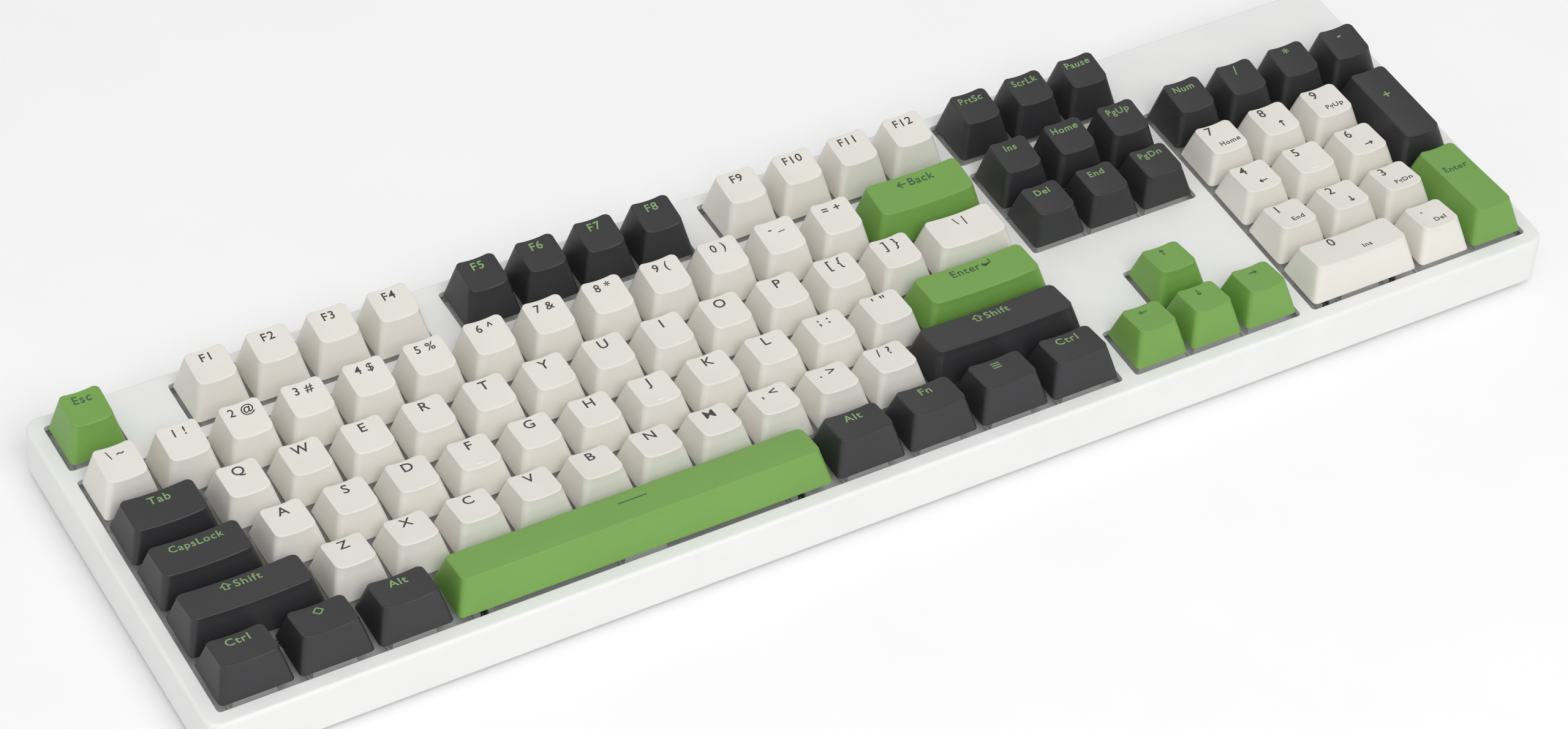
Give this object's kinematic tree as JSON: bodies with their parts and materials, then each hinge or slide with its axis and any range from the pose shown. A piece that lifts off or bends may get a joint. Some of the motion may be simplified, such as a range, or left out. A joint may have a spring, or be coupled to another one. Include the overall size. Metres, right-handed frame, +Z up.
{
  "type": "mechanical keyboard",
  "caption": "Full-size mechanical keyboard with sculpted two-shot keycaps in white, charcoal and green, slim white case, flip-out feet and a rear socket.",
  "frame": {"origin": "centre of the case's outline, on the desk under the rubber feet", "axes": "+X to the user's right along the rows, +Y to the rear, +Z up"},
  "size_m": [0.4386, 0.129, 0.0319],
  "materials": {
    "keycap_white": "warm off-white, fine satin grain, dark printed legends",
    "keycap_charcoal": "charcoal, fine satin grain, muted green legends",
    "keycap_green": "leaf green, fine satin grain, dark legends",
    "case_white": "white, fine moulded texture",
    "plate_steel": "white powder coat",
    "board_green": "solder mask",
    "chip_black": "moulded package",
    "connector_steel": "drawn shell",
    "screw_steel": "plated",
    "foot_rubber": "soft matt",
    "switch_white": "moulded nylon",
    "spring_steel": "drawn wire",
    "pin_brass": "tinned"
  },
  "bodies": {
    "root": {"case_bottom": "case_white", "case_top": "case_white", "switch_plate": "plate_steel", "circuit_board": "board_green", "controller_chip": "chip_black", "usb_socket": "connector_steel", "plate_screws": "screw_steel", "case_screws": "screw_steel", "rubber_feet": "foot_rubber", "switch_lower_housings": "switch_white", "switch_upper_housings": "switch_white", "switch_springs": "spring_steel", "switch_pins": "pin_brass", "stabiliser_housings": "switch_white"},
    "key_esc": {"key_esc": "keycap_green"},
    "keys_f1_f4": {"keys_f1_f4": "keycap_white"},
    "keys_f5_f8": {"keys_f5_f8": "keycap_charcoal"},
    "keys_f9_f12": {"keys_f9_f12": "keycap_white"},
    "keys_system": {"keys_system": "keycap_charcoal"},
    "keys_number_row": {"keys_number_row": "keycap_white"},
    "key_backspace": {"key_backspace": "keycap_green"},
    "stabiliser_wire_backspace": {"stabiliser_wire_backspace": "spring_steel"},
    "keys_navigation_upper": {"keys_navigation_upper": "keycap_charcoal"},
    "keys_numpad_operators": {"keys_numpad_operators": "keycap_charcoal"},
    "key_tab": {"key_tab": "keycap_charcoal"},
    "keys_upper_letter_row": {"keys_upper_letter_row": "keycap_white"},
    "keys_navigation_lower": {"keys_navigation_lower": "keycap_charcoal"},
    "keys_numpad_7_8_9": {"keys_numpad_7_8_9": "keycap_white"},
    "key_numpad_plus": {"key_numpad_plus": "keycap_charcoal"},
    "stabiliser_wire_numpad_plus": {"stabiliser_wire_numpad_plus": "spring_steel"},
    "key_caps_lock": {"key_caps_lock": "keycap_charcoal"},
    "keys_home_letter_row": {"keys_home_letter_row": "keycap_white"},
    "key_enter": {"key_enter": "keycap_green"},
    "stabiliser_wire_enter": {"stabiliser_wire_enter": "spring_steel"},
    "keys_numpad_4_5_6": {"keys_numpad_4_5_6": "keycap_white"},
    "key_left_shift": {"key_left_shift": "keycap_charcoal"},
    "stabiliser_wire_left_shift": {"stabiliser_wire_left_shift": "spring_steel"},
    "keys_lower_letter_row": {"keys_lower_letter_row": "keycap_white"},
    "key_right_shift": {"key_right_shift": "keycap_charcoal"},
    "stabiliser_wire_right_shift": {"stabiliser_wire_right_shift": "spring_steel"},
    "key_arrow_up": {"key_arrow_up": "keycap_green"},
    "keys_numpad_1_2_3_point": {"keys_numpad_1_2_3_point": "keycap_white"},
    "key_numpad_enter": {"key_numpad_enter": "keycap_green"},
    "stabiliser_wire_numpad_enter": {"stabiliser_wire_numpad_enter": "spring_steel"},
    "key_left_ctrl": {"key_left_ctrl": "keycap_charcoal"},
    "key_left_system": {"key_left_system": "keycap_charcoal"},
    "key_left_alt": {"key_left_alt": "keycap_charcoal"},
    "key_space": {"key_space": "keycap_green"},
    "stabiliser_wire_space": {"stabiliser_wire_space": "spring_steel"},
    "key_right_alt": {"key_right_alt": "keycap_charcoal"},
    "key_fn": {"key_fn": "keycap_charcoal"},
    "key_menu": {"key_menu": "keycap_charcoal"},
    "key_right_ctrl": {"key_right_ctrl": "keycap_charcoal"},
    "key_arrow_left": {"key_arrow_left": "keycap_green"},
    "key_arrow_down": {"key_arrow_down": "keycap_green"},
    "key_arrow_right": {"key_arrow_right": "keycap_green"},
    "key_numpad_0": {"key_numpad_0": "keycap_white"},
    "stabiliser_wire_numpad_0": {"stabiliser_wire_numpad_0": "spring_steel"},
    "tilt_foot_left": {"tilt_foot_left": "case_white"},
    "tilt_foot_right": {"tilt_foot_right": "case_white"}
  },
  "joints": [
    {"name": "key_esc_press", "type": "slide", "parent": "root", "child": "key_esc", "axis": [0, 0, -1], "range_m": [0, 0.004], "stiffness_N_per_m": 75, "springref_m": -0.006, "deforming": ["switch_springs"]},
    {"name": "keys_f1_f4_press", "type": "slide", "parent": "root", "child": "keys_f1_f4", "axis": [0, 0, -1], "range_m": [0, 0.004], "stiffness_N_per_m": 300, "springref_m": -0.006, "deforming": ["switch_springs"]},
    {"name": "keys_f5_f8_press", "type": "slide", "parent": "root", "child": "keys_f5_f8", "axis": [0, 0, -1], "range_m": [0, 0.004], "stiffness_N_per_m": 300, "springref_m": -0.006, "deforming": ["switch_springs"]},
    {"name": "keys_f9_f12_press", "type": "slide", "parent": "root", "child": "keys_f9_f12", "axis": [0, 0, -1], "range_m": [0, 0.004], "stiffness_N_per_m": 300, "springref_m": -0.006, "deforming": ["switch_springs"]},
    {"name": "keys_system_press", "type": "slide", "parent": "root", "child": "keys_system", "axis": [0, 0, -1], "range_m": [0, 0.004], "stiffness_N_per_m": 225, "springref_m": -0.006, "deforming": ["switch_springs"]},
    {"name": "keys_number_row_press", "type": "slide", "parent": "root", "child": "keys_number_row", "axis": [0, 0, -1], "range_m": [0, 0.004], "stiffness_N_per_m": 975, "springref_m": -0.006, "deforming": ["switch_springs"]},
    {"name": "key_backspace_press", "type": "slide", "parent": "root", "child": "key_backspace", "axis": [0, 0, -1], "range_m": [0, 0.004], "stiffness_N_per_m": 75, "springref_m": -0.006, "deforming": ["switch_springs"]},
    {"name": "stabiliser_wire_backspace_turn", "type": "hinge", "parent": "root", "child": "stabiliser_wire_backspace", "pos_m": [0.05239, 0.0168, 0.014], "axis": [-1, 0, 0], "range_deg": [0, 24.2]},
    {"name": "keys_navigation_upper_press", "type": "slide", "parent": "root", "child": "keys_navigation_upper", "axis": [0, 0, -1], "range_m": [0, 0.004], "stiffness_N_per_m": 225, "springref_m": -0.006, "deforming": ["switch_springs"]},
    {"name": "keys_numpad_operators_press", "type": "slide", "parent": "root", "child": "keys_numpad_operators", "axis": [0, 0, -1], "range_m": [0, 0.004], "stiffness_N_per_m": 300, "springref_m": -0.006, "deforming": ["switch_springs"]},
    {"name": "key_tab_press", "type": "slide", "parent": "root", "child": "key_tab", "axis": [0, 0, -1], "range_m": [0, 0.004], "stiffness_N_per_m": 75, "springref_m": -0.006, "deforming": ["switch_springs"]},
    {"name": "keys_upper_letter_row_press", "type": "slide", "parent": "root", "child": "keys_upper_letter_row", "axis": [0, 0, -1], "range_m": [0, 0.004], "stiffness_N_per_m": 975, "springref_m": -0.006, "deforming": ["switch_springs"]},
    {"name": "keys_navigation_lower_press", "type": "slide", "parent": "root", "child": "keys_navigation_lower", "axis": [0, 0, -1], "range_m": [0, 0.004], "stiffness_N_per_m": 225, "springref_m": -0.006, "deforming": ["switch_springs"]},
    {"name": "keys_numpad_7_8_9_press", "type": "slide", "parent": "root", "child": "keys_numpad_7_8_9", "axis": [0, 0, -1], "range_m": [0, 0.004], "stiffness_N_per_m": 225, "springref_m": -0.006, "deforming": ["switch_springs"]},
    {"name": "key_numpad_plus_press", "type": "slide", "parent": "root", "child": "key_numpad_plus", "axis": [0, 0, -1], "range_m": [0, 0.004], "stiffness_N_per_m": 75, "springref_m": -0.006, "deforming": ["switch_springs"]},
    {"name": "stabiliser_wire_numpad_plus_turn", "type": "hinge", "parent": "root", "child": "stabiliser_wire_numpad_plus", "pos_m": [0.21418, -0.00238, 0.014], "axis": [0, -1, 0], "range_deg": [0, 24.2]},
    {"name": "key_caps_lock_press", "type": "slide", "parent": "root", "child": "key_caps_lock", "axis": [0, 0, -1], "range_m": [0, 0.004], "stiffness_N_per_m": 75, "springref_m": -0.006, "deforming": ["switch_springs"]},
    {"name": "keys_home_letter_row_press", "type": "slide", "parent": "root", "child": "keys_home_letter_row", "axis": [0, 0, -1], "range_m": [0, 0.004], "stiffness_N_per_m": 825, "springref_m": -0.006, "deforming": ["switch_springs"]},
    {"name": "key_enter_press", "type": "slide", "parent": "root", "child": "key_enter", "axis": [0, 0, -1], "range_m": [0, 0.004], "stiffness_N_per_m": 75, "springref_m": -0.006, "deforming": ["switch_springs"]},
    {"name": "stabiliser_wire_enter_turn", "type": "hinge", "parent": "root", "child": "stabiliser_wire_enter", "pos_m": [0.05001, -0.0213, 0.014], "axis": [-1, 0, 0], "range_deg": [0, 24.2]},
    {"name": "keys_numpad_4_5_6_press", "type": "slide", "parent": "root", "child": "keys_numpad_4_5_6", "axis": [0, 0, -1], "range_m": [0, 0.004], "stiffness_N_per_m": 225, "springref_m": -0.006, "deforming": ["switch_springs"]},
    {"name": "key_left_shift_press", "type": "slide", "parent": "root", "child": "key_left_shift", "axis": [0, 0, -1], "range_m": [0, 0.004], "stiffness_N_per_m": 75, "springref_m": -0.006, "deforming": ["switch_springs"]},
    {"name": "stabiliser_wire_left_shift_turn", "type": "hinge", "parent": "root", "child": "stabiliser_wire_left_shift", "pos_m": [-0.19288, -0.04035, 0.014], "axis": [-1, 0, 0], "range_deg": [0, 24.2]},
    {"name": "keys_lower_letter_row_press", "type": "slide", "parent": "root", "child": "keys_lower_letter_row", "axis": [0, 0, -1], "range_m": [0, 0.004], "stiffness_N_per_m": 750, "springref_m": -0.006, "deforming": ["switch_springs"]},
    {"name": "key_right_shift_press", "type": "slide", "parent": "root", "child": "key_right_shift", "axis": [0, 0, -1], "range_m": [0, 0.004], "stiffness_N_per_m": 75, "springref_m": -0.006, "deforming": ["switch_springs"]},
    {"name": "stabiliser_wire_right_shift_turn", "type": "hinge", "parent": "root", "child": "stabiliser_wire_right_shift", "pos_m": [0.04524, -0.04035, 0.014], "axis": [-1, 0, 0], "range_deg": [0, 24.2]},
    {"name": "key_arrow_up_press", "type": "slide", "parent": "root", "child": "key_arrow_up", "axis": [0, 0, -1], "range_m": [0, 0.004], "stiffness_N_per_m": 75, "springref_m": -0.006, "deforming": ["switch_springs"]},
    {"name": "keys_numpad_1_2_3_point_press", "type": "slide", "parent": "root", "child": "keys_numpad_1_2_3_point", "axis": [0, 0, -1], "range_m": [0, 0.004], "stiffness_N_per_m": 300, "springref_m": -0.006, "deforming": ["switch_springs"]},
    {"name": "key_numpad_enter_press", "type": "slide", "parent": "root", "child": "key_numpad_enter", "axis": [0, 0, -1], "range_m": [0, 0.004], "stiffness_N_per_m": 75, "springref_m": -0.006, "deforming": ["switch_springs"]},
    {"name": "stabiliser_wire_numpad_enter_turn", "type": "hinge", "parent": "root", "child": "stabiliser_wire_numpad_enter", "pos_m": [0.21418, -0.04048, 0.014], "axis": [0, -1, 0], "range_deg": [0, 24.2]},
    {"name": "key_left_ctrl_press", "type": "slide", "parent": "root", "child": "key_left_ctrl", "axis": [0, 0, -1], "range_m": [0, 0.004], "stiffness_N_per_m": 75, "springref_m": -0.006, "deforming": ["switch_springs"]},
    {"name": "key_left_system_press", "type": "slide", "parent": "root", "child": "key_left_system", "axis": [0, 0, -1], "range_m": [0, 0.004], "stiffness_N_per_m": 75, "springref_m": -0.006, "deforming": ["switch_springs"]},
    {"name": "key_left_alt_press", "type": "slide", "parent": "root", "child": "key_left_alt", "axis": [0, 0, -1], "range_m": [0, 0.004], "stiffness_N_per_m": 75, "springref_m": -0.006, "deforming": ["switch_springs"]},
    {"name": "key_space_press", "type": "slide", "parent": "root", "child": "key_space", "axis": [0, 0, -1], "range_m": [0, 0.004], "stiffness_N_per_m": 75, "springref_m": -0.006, "deforming": ["switch_springs"]},
    {"name": "stabiliser_wire_space_turn", "type": "hinge", "parent": "root", "child": "stabiliser_wire_space", "pos_m": [-0.08334, -0.0594, 0.014], "axis": [-1, 0, 0], "range_deg": [0, 24.2]},
    {"name": "key_right_alt_press", "type": "slide", "parent": "root", "child": "key_right_alt", "axis": [0, 0, -1], "range_m": [0, 0.004], "stiffness_N_per_m": 75, "springref_m": -0.006, "deforming": ["switch_springs"]},
    {"name": "key_fn_press", "type": "slide", "parent": "root", "child": "key_fn", "axis": [0, 0, -1], "range_m": [0, 0.004], "stiffness_N_per_m": 75, "springref_m": -0.006, "deforming": ["switch_springs"]},
    {"name": "key_menu_press", "type": "slide", "parent": "root", "child": "key_menu", "axis": [0, 0, -1], "range_m": [0, 0.004], "stiffness_N_per_m": 75, "springref_m": -0.006, "deforming": ["switch_springs"]},
    {"name": "key_right_ctrl_press", "type": "slide", "parent": "root", "child": "key_right_ctrl", "axis": [0, 0, -1], "range_m": [0, 0.004], "stiffness_N_per_m": 75, "springref_m": -0.006, "deforming": ["switch_springs"]},
    {"name": "key_arrow_left_press", "type": "slide", "parent": "root", "child": "key_arrow_left", "axis": [0, 0, -1], "range_m": [0, 0.004], "stiffness_N_per_m": 75, "springref_m": -0.006, "deforming": ["switch_springs"]},
    {"name": "key_arrow_down_press", "type": "slide", "parent": "root", "child": "key_arrow_down", "axis": [0, 0, -1], "range_m": [0, 0.004], "stiffness_N_per_m": 75, "springref_m": -0.006, "deforming": ["switch_springs"]},
    {"name": "key_arrow_right_press", "type": "slide", "parent": "root", "child": "key_arrow_right", "axis": [0, 0, -1], "range_m": [0, 0.004], "stiffness_N_per_m": 75, "springref_m": -0.006, "deforming": ["switch_springs"]},
    {"name": "key_numpad_0_press", "type": "slide", "parent": "root", "child": "key_numpad_0", "axis": [0, 0, -1], "range_m": [0, 0.004], "stiffness_N_per_m": 75, "springref_m": -0.006, "deforming": ["switch_springs"]},
    {"name": "stabiliser_wire_numpad_0_turn", "type": "hinge", "parent": "root", "child": "stabiliser_wire_numpad_0", "pos_m": [0.15716, -0.0594, 0.014], "axis": [-1, 0, 0], "range_deg": [0, 24.2]},
    {"name": "tilt_foot_left_hinge", "type": "hinge", "parent": "root", "child": "tilt_foot_left", "pos_m": [-0.143, 0.056, 0.0018], "axis": [1, 0, 0], "range_deg": [0, 100]},
    {"name": "tilt_foot_right_hinge", "type": "hinge", "parent": "root", "child": "tilt_foot_right", "pos_m": [0.143, 0.056, 0.0018], "axis": [1, 0, 0], "range_deg": [0, 100]}
  ],
  "couplings": [
    {"joint": "stabiliser_wire_backspace_turn", "follows": "key_backspace_press", "rad_per_m": 104.72},
    {"joint": "stabiliser_wire_numpad_plus_turn", "follows": "key_numpad_plus_press", "rad_per_m": 104.72},
    {"joint": "stabiliser_wire_enter_turn", "follows": "key_enter_press", "rad_per_m": 104.72},
    {"joint": "stabiliser_wire_left_shift_turn", "follows": "key_left_shift_press", "rad_per_m": 104.72},
    {"joint": "stabiliser_wire_right_shift_turn", "follows": "key_right_shift_press", "rad_per_m": 104.72},
    {"joint": "stabiliser_wire_numpad_enter_turn", "follows": "key_numpad_enter_press", "rad_per_m": 104.72},
    {"joint": "stabiliser_wire_space_turn", "follows": "key_space_press", "rad_per_m": 104.72},
    {"joint": "stabiliser_wire_numpad_0_turn", "follows": "key_numpad_0_press", "rad_per_m": 104.72}
  ]
}
